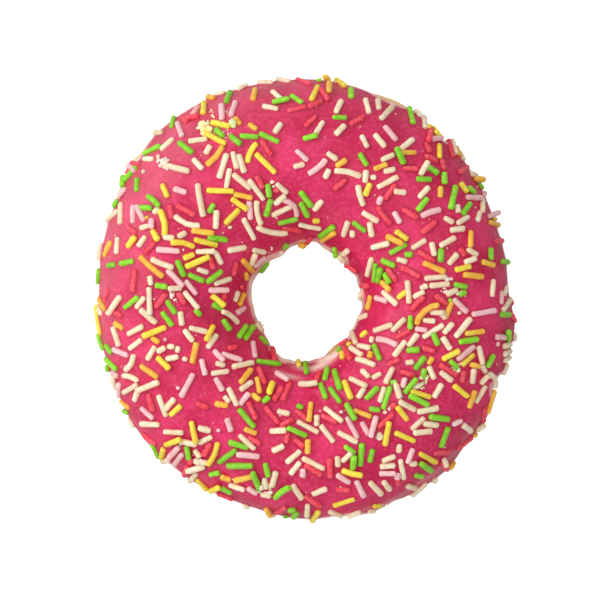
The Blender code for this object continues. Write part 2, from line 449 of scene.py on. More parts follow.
# strands laid one by one, colour by colour: x and y in mm from the middle, heading in degrees, length in mm,
# and for the bent ones how many degrees they turn along their length
laidByHand = {
    "cream": (
        # upper left
        (-21.3, 33.0, 62, 2.3), (-23.5, 35.1, 10, 4.2), (-30.2, 34.1, 42, 4.0), (-23.6, 29.9, -48, 3.2),
        (-28.1, 28.9, -14, 5.5), (-18.8, 45.2, 12, 2.6), (-5.9, 37.6, 55, 2.8), (-7.6, 42.0, -10, 3.6),
        (-6.2, 44.7, -40, 2.8), (-17.9, 29.3, 72, 5.8), (-15.3, 30.6, -75, 4.0), (-13.8, 29.8, -72, 4.4),
        (-16.8, 26.5, 80, 4.6), (-13.7, 25.8, -40, 5.2), (-10.5, 24.0, -53, 5.7), (-23.0, 21.8, -80, 7.5, 8),
        (-34.4, 31.0, 0, 2.2), (-35.4, 28.2, 60, 1.0), (-32.1, 31.3, 90, 1.0), (-32.2, 36.7, 10, 1.6),
        # upper right
        (-4.8, 48.1, -20, 3.0), (7.3, 42.3, 66, 3.2), (3.1, 37.7, 58, 3.4), (7.6, 37.2, 46, 3.1),
        (12.9, 34.8, -65, 3.2), (16.3, 35.0, -50, 3.8), (13.6, 42.6, -76, 3.4), (16.0, 42.8, -85, 2.3),
        (17.9, 41.1, 47, 4.4), (-1.3, 29.2, 15, 2.6), (5.8, 31.4, -35, 2.8), (4.7, 27.5, 65, 2.4),
        (9.2, 27.8, -12, 6.2, -35), (13.1, 27.0, 85, 2.9), (14.9, 26.9, 0, 1.3), (18.0, 31.2, 25, 3.3),
        (18.4, 28.3, 14, 2.7), (18.0, 25.7, 28, 5.3), (11.9, 22.6, -75, 4.8, 18), (20.7, 23.5, -6, 2.8),
        (24.8, 41.1, -50, 1.9), (26.1, 39.1, -75, 2.4), (22.4, 34.3, 40, 3.7), (26.0, 28.8, 62, 3.4),
        (26.2, 23.7, 48, 3.4), (32.6, 33.8, -68, 3.2), (34.4, 31.8, -65, 2.2), (37.0, 27.6, -10, 1.6),
        (38.8, 20.8, 84, 3.2), (38.0, 18.3, 78, 2.2), (33.5, 20.0, -80, 1.9),
        # left
        (-40.3, 19.0, 89, 4.8), (-42.3, 18.5, 42, 3.4), (-26.0, 16.9, -22, 6.3, 55), (-35.2, 16.0, 15, 2.2),
        (-29.8, 13.5, -8, 2.6), (-26.9, 14.1, 28, 2.2), (-35.8, 12.8, 54, 3.0), (-41.1, 11.9, 86, 3.8),
        (-21.8, 10.4, 3, 4.2), (-31.4, 7.9, -22, 5.4, 10), (-22.3, 6.2, -18, 2.6), (-33.9, 4.2, -80, 2.2),
        (-28.6, 2.5, 4, 3.2), (-34.1, -0.3, -87, 6.2), (-24.9, -0.1, -52, 5.0), (-41.5, -1.2, 62, 4.8),
        (-36.0, -0.6, 52, 3.2), (-45.0, -2.6, -60, 1.4), (-34.4, -3.6, -42, 4.8), (-26.9, -4.1, -83, 3.2),
        (-32.6, 19.5, 30, 1.8),
        # round the hole
        (-19.3, 17.3, 87, 4.2), (-10.1, 18.7, -80, 5.4, 38), (-12.2, 15.3, -62, 5.8),
        (-7.2, 14.6, -12, 8.0, 40),
        (-5.0, 19.2, 24, 4.8), (-5.4, 21.8, 38, 3.2), (-5.0, 24.3, -42, 3.4), (2.8, 20.6, 48, 2.9),
        (1.1, 16.0, -15, 5.2, 25), (-14.8, 10.9, 11, 4.2), (-10.0, 10.5, -8, 2.8), (-18.9, 9.0, -62, 3.2),
        (-11.4, 8.8, 82, 3.0), (-17.9, 3.9, 18, 4.0), (-15.1, 0.5, 72, 2.4), (-16.4, -3.8, -30, 5.4, -38),
        (-16.4, 15.7, 0, 0.9), (-10.1, -6.2, -50, 2.4), (8.9, 10.2, 40, 1.8), (8.1, 8.8, -58, 1.9),
        (12.2, 0.7, 80, 1.6), (12.7, -3.8, 30, 1.8), (10.7, -8.3, -70, 2.8), (0.8, -18.6, -5, 4.4, 22),
        # right
        (14.2, 18.0, -30, 4.2), (8.8, 15.3, 72, 3.5), (10.4, 14.3, 90, 1.5), (14.3, 15.2, -80, 3.4),
        (16.4, 11.7, 15, 4.2), (25.0, 12.1, 32, 3.8), (28.0, 11.0, -78, 3.2), (31.1, 12.6, 29, 4.3),
        (21.0, 8.4, -15, 2.4), (14.0, 7.0, 73, 4.3), (28.6, 4.8, 5, 5.0), (29.6, 3.2, 6, 4.6),
        (26.0, 2.7, 25, 1.9), (22.5, 1.6, -86, 5.2), (24.7, 1.1, 28, 2.9), (18.6, 0.3, -45, 4.4),
        (28.7, -2.9, -3, 3.2), (27.1, -4.7, -5, 2.8), (31.5, 17.4, -30, 2.4), (34.7, 17.5, 32, 3.2),
        (33.6, 15.5, 8, 3.2), (36.7, 10.4, -30, 2.8), (32.5, 8.9, 50, 3.2), (36.3, 8.6, 22, 2.8),
        (32.1, 1.6, 28, 2.9), (41.2, 2.5, 84, 3.9), (44.0, 1.9, 65, 2.0), (44.3, -1.3, 50, 3.2),
        (33.8, -3.0, 0, 0.9), (30.4, -3.4, -70, 2.2),
        # lower left
        (-41.4, -8.1, -72, 4.6), (-37.2, -6.7, 28, 4.0), (-37.2, -9.8, 36, 3.6), (-33.9, -11.8, 60, 3.6),
        (-31.6, -11.0, 30, 2.3), (-29.4, -10.3, 0, 1.7), (-27.9, -10.9, 80, 1.5), (-29.1, -12.8, 12, 3.0),
        (-26.2, -13.0, -25, 1.2), (-38.4, -14.0, 60, 4.2, 70), (-38.3, -17.1, -15, 4.0, -45),
        (-41.8, -18.3, -88, 3.0), (-38.3, -19.6, 30, 4.2), (-34.5, -19.1, 22, 5.4), (-37.1, -21.2, 68, 2.4),
        (-31.4, -23.4, -72, 5.2), (-29.8, -23.1, 48, 3.6), (-34.1, -27.4, 0, 4.4), (-28.8, -29.1, -3, 4.4),
        (-25.4, -31.2, -3, 4.4), (-21.8, -30.7, 26, 3.4), (-22.0, -28.4, -15, 3.0), (-25.5, -7.9, -53, 3.4),
        (-23.2, -6.6, -14, 4.2), (-20.2, -9.1, 56, 3.8), (-18.4, -14.1, -14, 2.2), (-13.5, -14.1, 12, 4.9),
        (-18.5, -15.9, 8, 4.0), (-12.8, -18.7, 36, 3.4), (-15.8, -21.2, -65, 4.6), (-17.1, -21.8, -50, 1.9),
        (-4.7, -24.5, -14, 2.9), (-5.9, -28.7, 3, 3.8), (0.7, -27.9, -28, 5.4), (2.7, -26.3, 90, 2.5),
        (-12.7, -31.2, -42, 4.8), (-5.9, -32.7, 26, 3.0), (6.4, -25.0, -38, 5.2), (5.0, -29.3, -52, 4.8),
        # bottom
        (-30.8, -35.6, 20, 1.6), (-23.6, -33.8, -50, 2.2), (-22.6, -35.5, -15, 3.4), (-23.8, -36.8, 4, 3.8),
        (-14.8, -40.9, -10, 3.8), (-24.6, -39.1, 50, 2.8), (-12.9, -45.4, -25, 1.6), (-8.7, -40.4, -80, 2.4),
        (-8.5, -42.9, -10, 2.4), (-6.8, -39.6, 74, 3.6), (-1.6, -42.1, -52, 3.8), (-2.5, -34.4, 40, 4.2),
        (-2.1, -36.9, 51, 3.6), (1.9, -35.9, -27, 5.6), (7.3, -35.6, -86, 2.4), (9.3, -34.4, 46, 3.2),
        (3.3, -42.2, 22, 3.6), (0.6, -46.4, 86, 2.8), (6.8, -47.0, -18, 3.2), (10.8, -47.0, 18, 3.2),
        (15.6, -41.5, -46, 3.9), (14.7, -46.4, 10, 1.8), (-6.9, -46.9, 0, 1.2), (9.5, -30.2, -28, 5.0),
        # lower right
        (20.7, -32.7, 85, 1.9), (18.3, -34.7, 22, 3.2), (18.1, -36.4, 4, 3.4), (21.3, -37.3, -80, 4.4),
        (23.6, -35.9, 0, 1.6), (30.2, -35.3, 90, 1.5), (18.0, -40.9, -52, 2.6), (23.3, -41.2, -20, 2.2),
        (11.8, -18.2, -28, 4.6), (12.4, -20.4, 58, 2.8), (16.7, -20.6, 72, 3.7), (18.4, -16.7, 66, 4.2),
        (20.3, -20.2, -73, 3.4), (27.5, -16.1, -64, 3.2), (30.9, -17.0, -38, 3.4), (28.9, -20.0, 60, 3.7),
        (22.2, -23.2, -28, 4.4), (26.9, -24.3, 11, 4.9), (24.6, -27.1, 43, 4.0), (27.5, -27.4, -6, 3.4),
        (25.7, -29.0, 4, 4.3), (16.3, -29.9, 70, 1.7), (17.0, -6.2, 20, 4.4), (20.5, -5.6, 44, 4.2),
        (28.0, -7.0, 32, 5.4), (14.7, -8.9, 85, 1.4), (12.9, -10.4, -14, 3.0), (11.2, -11.4, -32, 3.0),
        (13.2, -13.6, -18, 4.4, -14), (13.3, -16.3, -45, 2.6), (15.7, -16.7, 26, 2.4), (20.6, -10.8, 53, 4.4),
        (23.6, -9.0, 53, 3.6), (22.9, -13.9, 8, 1.9), (30.9, -9.7, -56, 3.4), (31.5, -6.4, 48, 3.2),
        (34.6, -6.2, 50, 5.6), (38.4, -12.3, -83, 4.2), (39.1, -15.2, -60, 2.2), (36.5, -16.8, -89, 3.4),
        (38.9, -17.5, 62, 2.6), (41.2, -17.6, -62, 3.8, -105), (38.4, -20.8, 58, 4.5),
        (35.5, -28.3, -38, 2.6),
        (38.3, -28.0, 60, 2.4), (44.4, -10.2, 15, 1.8), (44.4, -11.8, 22, 1.8), (44.4, -13.2, 25, 1.6),
        (44.6, -15.6, 65, 2.6), (24.4, -19.2, 20, 2.0),
    ),
    "green": (
        # upper half
        (-7.8, 35.5, -25, 4.8), (-12.2, 35.8, -3, 4.1), (-15.2, 35.0, -40, 3.2), (-18.8, 36.7, -45, 2.7),
        (-26.2, 33.4, -38, 3.9), (-29.0, 38.9, 75, 2.3), (-16.9, 44.5, 72, 3.2),
        (-5.3, 43.3, 3, 4.0), (-1.9, 43.9, -36, 3.2), (-20.4, 19.9, 62, 2.4), (-7.9, 24.0, -82, 3.0),
        (-33.6, 33.0, 27, 4.2), (-38.3, 27.8, 48, 4.2), (-40.4, 26.5, 75, 2.6), (-36.8, 25.3, 88, 3.0),
        (-33.2, 21.7, -40, 4.0, -25), (-34.7, 20.1, -8, 2.8), (-41.5, 21.3, 60, 2.0), (3.1, 48.1, 0, 1.2),
        (10.1, 45.4, 88, 2.4), (7.5, 40.0, -2, 3.2), (1.1, 35.6, 12, 3.4), (12.6, 30.7, -58, 3.3),
        (20.7, 31.6, -58, 4.2), (0.2, 21.9, -52, 4.2), (23.2, 40.5, -72, 3.6), (28.1, 28.5, -36, 2.8),
        (30.5, 26.7, -85, 2.7), (26.1, 26.5, -2, 3.4), (32.5, 22.5, 77, 5.4), (25.8, 20.9, 51, 3.8),
        (36.4, 24.1, -40, 2.2), (35.3, 20.0, 54, 3.2), (38.5, 25.1, -50, 1.6), (-42.4, 7.6, 5, 1.9),
        (-39.1, 8.2, 12, 3.2), (-27.3, 6.8, -66, 4.0), (-23.8, 4.7, -24, 3.8), (-19.7, 4.9, 38, 4.4),
        (-31.5, 3.0, -8, 2.8), (-7.9, 20.1, 72, 4.0), (-0.1, 19.6, -62, 3.6), (-3.7, 17.2, 13, 4.6),
        (4.8, 14.8, 38, 4.6), (-19.1, 13.2, -8, 4.4), (-4.6, 11.6, 40, 1.6), (-8.9, 7.2, 52, 2.8),
        (6.7, 10.2, -70, 2.0), (11.8, 15.8, -36, 3.6), (20.3, 11.0, 30, 4.3), (22.5, 9.7, 0, 1.9),
        (29.8, 9.7, 87, 3.2), (18.2, 7.9, -24, 3.4), (15.3, 5.8, 84, 4.2), (16.4, 5.3, 68, 3.8),
        (17.8, 4.6, -62, 2.8), (40.6, 10.0, -88, 2.8), (44.0, 8.3, -3, 1.8), (34.1, 3.0, -12, 3.2),
        (34.5, 1.3, 32, 1.8),
        # lower half
        (-23.4, -2.8, -50, 2.0), (-38.1, -0.6, 37, 4.2), (-29.2, -1.6, -56, 3.6), (-30.1, -4.2, -53, 4.0),
        (-19.0, -1.6, -25, 2.4), (-17.2, -5.6, -55, 3.0), (-13.7, -7.0, 58, 3.2), (-12.2, -7.2, 60, 3.2),
        (-9.3, -8.8, -45, 2.4), (23.0, -5.1, -88, 3.2), (44.0, -3.4, 0, 2.2), (31.8, -0.2, 0, 1.0),
        (-45.0, -9.3, -68, 3.8), (-43.1, -10.9, -50, 2.2), (-42.7, -14.2, -40, 3.9), (-39.4, -24.7, 0, 1.3),
        (-32.9, -33.3, -58, 3.6), (-25.5, -33.4, -72, 3.0), (-8.2, -13.9, -12, 6.2), (-8.6, -21.8, 35, 2.0),
        (-12.8, -25.9, -50, 5.4), (-1.7, -28.9, -23, 4.9), (-14.6, -31.9, -16, 4.6), (0.3, -14.9, -82, 2.4),
        (4.7, -16.1, 78, 3.0), (4.1, -19.9, -70, 3.8), (7.1, -17.4, -73, 5.2), (6.7, -20.8, -54, 4.2),
        (-1.1, -23.4, -25, 1.6), (-17.1, -34.5, 36, 5.0), (-14.3, -36.4, 1, 6.0), (-19.8, -38.1, 12, 2.3),
        (-10.6, -39.7, -72, 5.0), (-8.4, -37.5, -76, 3.2), (-17.2, -41.8, -26, 2.8),
        (-5.0, -41.8, 46, 5.4, -30),
        (9.9, -32.8, -38, 3.0), (10.7, -35.5, 84, 3.6), (12.4, -33.9, 85, 5.2), (14.6, -34.2, 76, 3.1),
        (-2.8, -46.1, 0, 1.8), (-2.1, -47.3, 60, 1.5), (-4.1, -47.6, 0, 1.2), (26.4, -36.6, -37, 3.8),
        (24.9, -38.6, -12, 2.0), (14.7, -20.4, 45, 4.0), (17.9, -21.5, 72, 5.4), (22.9, -18.9, 50, 4.4),
        (25.8, -16.2, 90, 2.2), (24.8, -22.1, -27, 5.2), (29.3, -26.0, -7, 4.5), (30.4, -30.1, 72, 4.8),
        (10.2, -24.5, -60, 4.6), (15.2, -23.8, -8, 2.5), (7.5, -11.1, 20, 1.2), (15.7, -11.6, -68, 3.8),
        (23.5, -11.2, 3, 3.0), (24.9, -13.9, 52, 3.7), (28.6, -8.8, -67, 3.2), (36.0, -9.1, 9, 4.5),
        (32.5, -14.3, -42, 2.6), (40.5, -13.5, 60, 3.2), (44.3, -8.0, -70, 2.4), (19.4, -18.2, 0, 1.6),
    ),
    "red": (
        (-24.5, 39.7, 25, 3.0), (-26.5, 39.5, -50, 2.0), (-8.3, 33.1, -57, 3.9), (-29.4, 19.2, -80, 3.0),
        (-26.1, 19.5, -28, 4.6), (-9.8, 25.7, -62, 3.2), (-6.3, 23.8, 0, 1.5), (-0.3, 47.8, -25, 3.6),
        (4.3, 44.8, -55, 3.0), (2.2, 42.8, 28, 3.4), (-1.8, 41.7, 14, 4.3), (1.2, 39.2, 43, 3.5),
        (11.3, 39.2, 28, 3.6), (7.5, 25.1, 38, 3.6), (18.5, 23.5, 55, 4.2), (27.1, 36.0, 72, 3.2),
        (26.8, 33.3, -68, 2.6), (31.9, 33.3, -72, 3.8), (23.2, 28.8, 0, 3.4), (27.6, 31.1, -25, 3.1),
        (30.2, 29.7, -78, 2.5), (34.8, 28.7, 35, 2.2), (-39.1, 28.6, 60, 1.6), (-37.6, 30.3, -15, 1.8),
        (-38.0, 15.3, -38, 2.8), (-33.8, 11.5, 48, 3.6), (-37.5, 4.2, 86, 5.2), (-31.6, -0.2, 53, 4.2),
        (-27.0, 0.3, -60, 3.2), (-43.5, 1.1, 65, 2.6), (-41.1, -3.0, -28, 2.8), (-2.9, 15.3, -12, 4.2),
        (-20.3, 7.8, -72, 2.8), (-15.4, 6.7, 76, 3.4), (-17.8, 0.7, 80, 2.2), (-14.0, 2.7, 60, 1.1),
        (17.1, 18.2, -54, 5.0, 15), (23.0, 18.8, -31, 4.0), (27.3, 15.9, 40, 4.3), (26.5, 9.4, -32, 4.4),
        (18.8, 5.4, -57, 3.6), (23.1, 6.0, -27, 4.8), (24.5, -0.8, 47, 4.4), (29.7, -0.1, -38, 3.4),
        (10.2, 7.0, -40, 3.0), (13.1, 3.0, 0, 1.8), (42.6, 12.9, 8, 2.0), (34.4, 10.4, -55, 2.2),
        (45.4, -0.5, -70, 1.6), (45.7, -4.2, -60, 1.8), (-33.8, -22.6, -76, 4.2), (-34.2, -30.7, -35, 3.8),
        (-22.4, -23.1, -25, 3.0), (-21.5, -32.8, 62, 3.2), (-15.9, -10.5, 10, 2.0), (-7.2, -12.0, -78, 3.2),
        (-9.7, -16.6, -68, 4.2), (-6.0, -20.4, 58, 3.6), (-4.1, -19.9, 66, 4.4), (-11.6, -24.2, -66, 4.4),
        (-7.3, -25.1, -50, 4.8), (-4.0, -26.8, 28, 3.4), (-0.7, -25.2, -40, 3.4), (-11.1, -30.8, -30, 3.2),
        (-3.9, -30.2, 80, 2.8), (-1.2, -31.4, -42, 2.8), (2.9, -17.0, 70, 2.6), (5.5, -26.0, -22, 3.8),
        (-26.0, -37.5, 65, 3.8), (-24.9, -35.4, 60, 1.5), (-17.5, -43.2, -20, 3.8), (1.9, -37.3, -32, 4.6),
        (5.6, -37.2, -87, 4.4), (8.4, -41.8, -2, 3.2), (1.8, -44.3, -32, 4.4), (-5.3, -46.3, 38, 3.0),
        (30.0, -33.5, 2, 3.8), (30.6, -36.6, -50, 2.2), (20.3, -39.8, -80, 1.8), (17.6, -26.3, 42, 4.8),
        (19.3, -23.2, 40, 1.6), (9.2, -11.8, -60, 2.8), (8.4, -9.5, 45, 2.4), (19.3, -13.7, 26, 3.2),
        (22.3, -16.2, -14, 3.4), (21.5, -7.6, 28, 3.8), (26.8, -11.0, -16, 3.0), (31.4, -15.6, -32, 4.6),
        (34.5, -17.0, 80, 2.8), (39.2, -25.4, 88, 3.0), (35.6, -31.1, 38, 3.0), (33.7, -32.4, 40, 1.6),
        (0.8, 12.8, 45, 1.4),
    ),
    "yellow": (
        (-19.7, 35.4, -27, 5.3), (-18.5, 38.5, -15, 4.4), (-22.3, 42.1, 88, 3.4),
        (-11.7, 32.3, 65, 5.0, -45),
        (-8.6, 30.0, -45, 6.2), (-18.5, 23.8, -2, 6.1), (-14.2, 20.8, -34, 4.4), (-15.9, 18.1, 46, 4.7),
        (-30.7, 23.9, -68, 3.2), (7.8, 47.7, -40, 2.8), (2.1, 45.2, 65, 3.9), (13.5, 23.9, 68, 3.1),
        (28.0, 38.3, -30, 2.2), (29.4, 37.2, -35, 1.8), (29.3, 32.6, 88, 3.2), (34.8, 24.7, -55, 2.8),
        (-31.2, 16.9, -80, 6.2, -45), (-32.9, 14.1, -58, 3.0), (-38.0, 12.7, 48, 3.2),
        (-26.7, 12.1, -10, 5.5, -42),
        (-21.7, 12.4, -14, 5.4), (-25.4, 9.4, 22, 2.7), (-23.6, 8.2, 25, 5.8), (-45.7, -4.5, -77, 7.4),
        (2.5, 17.2, 0, 1.7), (-19.2, -0.3, -48, 3.6), (21.0, 13.9, -36, 3.4),
        (21.1, 1.0, 38, 2.6), (34.7, 6.9, 14, 3.7), (42.1, 18.0, 0, 1.0), (-32.9, -7.0, 22, 5.6),
        (-31.0, -13.9, -42, 4.0), (-28.4, -24.4, 42, 3.5), (-28.8, -31.1, 25, 5.0), (-24.2, -28.9, -72, 5.0),
        (-20.8, -7.3, 58, 4.4), (-7.6, -19.3, 70, 3.4), (-1.3, -14.0, -80, 1.2), (9.4, -19.6, -68, 4.5),
        (-31.3, -33.8, 78, 2.2), (-20.0, -33.9, 67, 5.4, 40), (-19.7, -41.4, 35, 3.4),
        (-22.6, -40.6, -44, 3.4),
        (10.4, -37.8, -9, 4.8, 20), (8.6, -44.4, 18, 5.0), (2.4, -47.6, 55, 2.9), (15.8, -45.2, 0, 1.8),
        (25.2, -20.8, -17, 4.8), (21.3, -25.0, -52, 4.1), (21.9, -30.1, -24, 5.0), (18.0, -29.3, 80, 5.6),
        (27.0, -34.9, -29, 5.8), (13.0, -7.6, 40, 1.8), (9.7, -9.9, 40, 1.2), (8.3, -12.4, 80, 1.4),
        (32.0, -12.3, 28, 4.4), (35.6, -13.3, 43, 3.8), (34.1, -20.2, -38, 4.2), (37.5, -29.9, 50, 1.2),
    ),
    "pink": (
        (-27.6, 37.5, -68, 3.6), (-24.1, 41.4, 60, 2.4), (-18.3, 41.2, 92, 3.4), (-15.8, 41.9, 72, 3.6),
        (-27.5, 24.0, -18, 3.0), (-12.0, 19.5, -86, 4.0), (18.6, 36.5, -49, 4.3), (-0.7, 31.7, -42, 3.6),
        (2.7, 28.9, 40, 5.2, 28), (28.9, 35.5, 2, 2.2), (37.1, 22.5, -5, 3.4), (39.5, 23.4, 40, 1.2),
        (-38.5, 29.4, -40, 1.8), (-39.9, 23.6, 58, 2.6), (-37.6, 18.8, 87, 4.0), (-36.1, 19.0, -64, 4.0),
        (-33.4, 16.6, -78, 2.6), (-29.9, 10.7, -4, 5.2), (-28.4, 4.7, -46, 5.2), (-24.8, 2.6, -52, 4.0),
        (-2.8, 20.3, -50, 5.6, -105), (-9.9, 8.3, 46, 3.6), (-19.1, 2.0, 2, 4.0), (-14.1, -2.6, 35, 2.2),
        (16.2, 21.6, 70, 2.2), (20.1, 17.9, -60, 3.0), (27.6, 19.1, 19, 4.7, -20), (16.5, 0.0, -18, 2.8),
        (41.0, 18.6, 20, 1.8), (34.1, -1.4, -45, 4.4), (43.0, 0.4, 88, 3.0), (39.3, -2.9, 10, 6.4),
        (-40.5, -11.6, -22, 3.8), (-41.7, -16.4, -40, 1.8), (-40.9, -20.0, 82, 3.2), (-34.7, -25.0, -43, 3.8),
        (-25.9, -18.9, 62, 6.0), (-22.2, -14.8, -76, 3.8), (-28.9, -33.7, 48, 3.6), (-27.8, -35.1, 52, 3.2),
        (-11.2, -10.8, -83, 3.8), (-18.7, -12.2, -50, 3.4), (-15.9, -12.5, -18, 4.8), (-5.2, -16.9, -42, 3.6),
        (-18.6, -18.4, -60, 3.4), (-13.2, -21.5, 50, 3.4), (-16.7, -27.5, -72, 3.2),
        (-12.5, -34.2, -6, 5.2, -8),
        (-11.5, -41.9, -30, 2.6), (-0.4, -38.1, 88, 2.0), (8.5, -39.4, -32, 3.6), (12.2, -41.6, -64, 4.0),
        (22.9, -34.1, 66, 3.5), (18.0, -37.9, 6, 3.6), (20.2, -38.6, 60, 1.5), (15.0, -27.6, 75, 5.0),
        (13.3, -28.2, -60, 3.4), (10.5, -28.0, -62, 5.4), (21.4, -18.2, 75, 2.4), (25.2, -6.6, -10, 2.8),
        (17.8, -9.2, -17, 4.8, -32), (35.2, -11.8, 38, 5.0), (33.3, -27.1, 22, 2.4), (43.0, -8.4, -5, 2.2),
        (42.3, -9.9, 70, 1.0), (-30.5, -8.7, 60, 0.9), (-27.8, -19.4, 0, 0.9), (-18.9, -28.6, 0, 0.9),
        (8.0, -24.3, 0, 0.9),
    ),
    "orange": (
        (-19.6, 31.5, 50, 5.6, 40), (-20.8, 44.4, -20, 1.6), (-14.8, 39.2, -50, 2.0), (-11.4, 37.9, -35, 2.3),
        (-11.2, 45.1, 80, 2.6), (-13.5, 22.7, -12, 4.3), (5.3, 46.8, 86, 3.6), (4.7, 48.2, 5, 1.8),
        (7.8, 29.9, 35, 2.9), (16.5, 29.3, 22, 3.2), (22.6, 32.4, 2, 3.6), (29.8, 23.8, 88, 2.5),
        (33.6, 32.9, -70, 2.2), (37.7, 26.3, -35, 1.8), (-22.3, 14.6, -7, 5.0), (-34.6, 18.0, 30, 0.9),
        (-33.8, 7.2, -41, 7.2, 12), (-43.3, 11.2, 60, 3.6), (-44.6, -1.0, -58, 3.0),
        (-12.5, 7.4, -48, 4.4), (-12.9, 5.2, -85, 1.6),
        (-13.9, -0.2, 68, 2.8), (5.1, 13.6, 35, 4.2), (19.6, 12.9, -24, 4.4), (17.8, 3.0, -38, 3.2),
        (28.2, 7.0, -24, 5.4), (14.2, -0.7, 70, 3.3), (26.3, -2.9, 40, 7.4, -72), (31.4, -2.3, 68, 4.0),
        (41.5, 16.7, -18, 2.6), (36.2, 13.3, 80, 4.0), (40.2, 7.9, -16, 3.0), (36.9, 5.2, -6, 4.6),
        (-40.8, -5.7, -35, 2.4), (-33.0, -8.9, -35, 2.2), (-34.2, -15.8, -34, 4.8), (-39.6, -23.1, -32, 2.6),
        (-24.0, -11.6, 78, 4.8), (-12.8, -16.5, 52, 4.2), (-10.3, -18.7, -79, 3.7), (-10.8, -21.2, -42, 2.4),
        (-18.2, -22.9, -10, 3.0), (1.2, -24.5, 84, 4.6), (-12.0, -28.9, -22, 3.0), (0.7, -32.2, 88, 3.3),
        (-17.3, -39.0, -28, 2.4), (-13.5, -39.2, 14, 4.2), (-7.9, -46.3, -40, 1.8), (12.6, -24.7, -20, 4.2),
        (14.2, -12.1, 80, 1.5), (27.3, -13.5, 55, 1.9), (37.2, -7.3, 7, 4.3), (37.0, -14.5, -15, 2.2),
        (36.4, -21.9, 70, 4.2), (40.8, -22.6, 75, 5.6), (32.1, -36.3, 30, 1.8), (-0.7, 12.3, 15, 1.5),
    ),
}


# sprinkles: one strand is modelled, then copied, stretched, bent and pressed into the frosting

strand = {
    "width": 1.34 * mm, "length": 4 * mm, "sides": 7, "cuts": 3, "rounding": 0.38 * mm,
    "widths": (0.92, 1.08),                # the thinnest and the thickest, as shares of the width
    "fattest": 0.96,                       # the greatest width of a short one, as a share of its length
    "lumpy": 0.045, "redLumpy": 0.08,      # unevenness along a strand
    "lumpWaves": (1.3, 3.9),               # how closely its slow and its fast swells follow each other
    "leastBend": 0.01, "bendShift": 0.4,   # bend of a straight one, and how a bow is shared about its line
    "longest": 6 * mm, "most": 1500,
    "steepest": 0.3,                       # the least rise of the slope's normal that a heading leans to
    # how deep it is pressed in, as a share of its width, by how much that varies, and how much more for red
    "sunk": 0.27, "sunkSpread": 0.04, "redDeeper": 0.1,
    # a strand is felt at so many points, out to this share of its length each way, and by others this near
    "feelers": 7, "feelReach": 0.42, "feelRange": 8 * mm,
    "touching": 0.78,                      # how near two strands may come, as a share of their width
    # how high one end may be lifted over another strand, the steps of that, the share of the length that it
    # leans over, how much of the lift the middle follows, and up to where the strand still wets the frosting
    "stack": 1.2 * mm, "stackStep": 0.1 * mm, "leanOver": 0.6, "middleRise": 0.7, "atBase": 0.3 * mm,
    # the side below the listed strands: tries, greatest share covered, how far that is felt, angle
    # round the section, what stays free above the frosting's edge and the share of the length added to it,
    # lengths in mm (usual, spread, shortest, longest), spread of the bends in degrees
    "sideTries": 2000, "sideCover": 0.12, "near": 3 * mm, "sideBelt": 11, "sideMargin": (0.4 * mm, 0.3),
    "sideLengths": (3.9, 1.0, 1.6, 6.2), "sideBend": 9,
    "sideBare": ((316, 5), (262, 4)),      # angles round the ring that stay bare, and half widths
    # how the colours are shared out there
    "shares": (("cream", 0.39), ("green", 0.19), ("red", 0.14), ("pink", 0.1), ("yellow", 0.1),
               ("orange", 0.08)),
}


def modelStrand():
    bpy.ops.object.select_all(action="DESELECT")
    bpy.ops.mesh.primitive_cylinder_add(vertices=strand["sides"], radius=strand["width"] / 2,
                                        depth=strand["length"], location=(0, 0, 0),
                                        rotation=(0, math.pi / 2, 0))
    model = bpy.context.object
    bpy.ops.object.transform_apply(location=False, rotation=True, scale=False)

    def selectEdges(alongStrand):
        bpy.ops.object.mode_set(mode="EDIT")
        bpy.ops.mesh.select_mode(type="EDGE")
        bpy.ops.mesh.select_all(action="DESELECT")
        bpy.ops.object.mode_set(mode="OBJECT")
        points = readPoints(model.data)
        for edge in model.data.edges:
            a, b = points[edge.vertices[0]], points[edge.vertices[1]]
            isAlong = abs(a[0] - b[0]) > 0.1 * mm
            atEnd = abs(a[0]) > 0.49 * strand["length"]
            edge.select = bool(isAlong if alongStrand else (atEnd and not isAlong))
        bpy.ops.object.mode_set(mode="EDIT")

    selectEdges(True)
    bpy.ops.mesh.subdivide(number_cuts=strand["cuts"])
    selectEdges(False)
    bpy.ops.mesh.bevel(offset=strand["rounding"], segments=2, profile=0.5)
    bpy.ops.object.mode_set(mode="OBJECT")
    return model


strandModel = modelStrand()
strandPoints = readPoints(strandModel.data)
strandFaces = [tuple(face.vertices) for face in strandModel.data.polygons]
bpy.data.objects.remove(strandModel)
print("strand modelled,", len(strandFaces), "faces")

placed = []          # every strand laid so far
placedMiddles = np.zeros((strand["most"], 3))
placedLines = np.zeros((strand["most"], strand["feelers"], 3))


def lineOf(middle, along, length):
    reach = strand["feelReach"]
    return middle + np.outer(np.linspace(-reach, reach, strand["feelers"]) * length, along)


def clearance(line, middle):
    # how far this line passes from the nearest strand laid so far
    close = ((placedMiddles[:len(placed)] - middle) ** 2).sum(1) < strand["feelRange"] ** 2
    if not close.any():
        return 1.0
    gaps = placedLines[:len(placed)][close].reshape(-1, 1, 3) - line
    return math.sqrt((gaps ** 2).sum(2).min())


def keepStrand(colour, middle, along, up, length, width, bend, atBase):
    placedMiddles[len(placed)] = middle
    placedLines[len(placed)] = lineOf(middle, along, length)
    placed.append({"colour": colour, "middle": middle, "along": along, "up": unit(up - along * (up @ along)),
                   "length": length, "width": width, "bend": bend, "tone": dice.random(), "atBase": atBase})


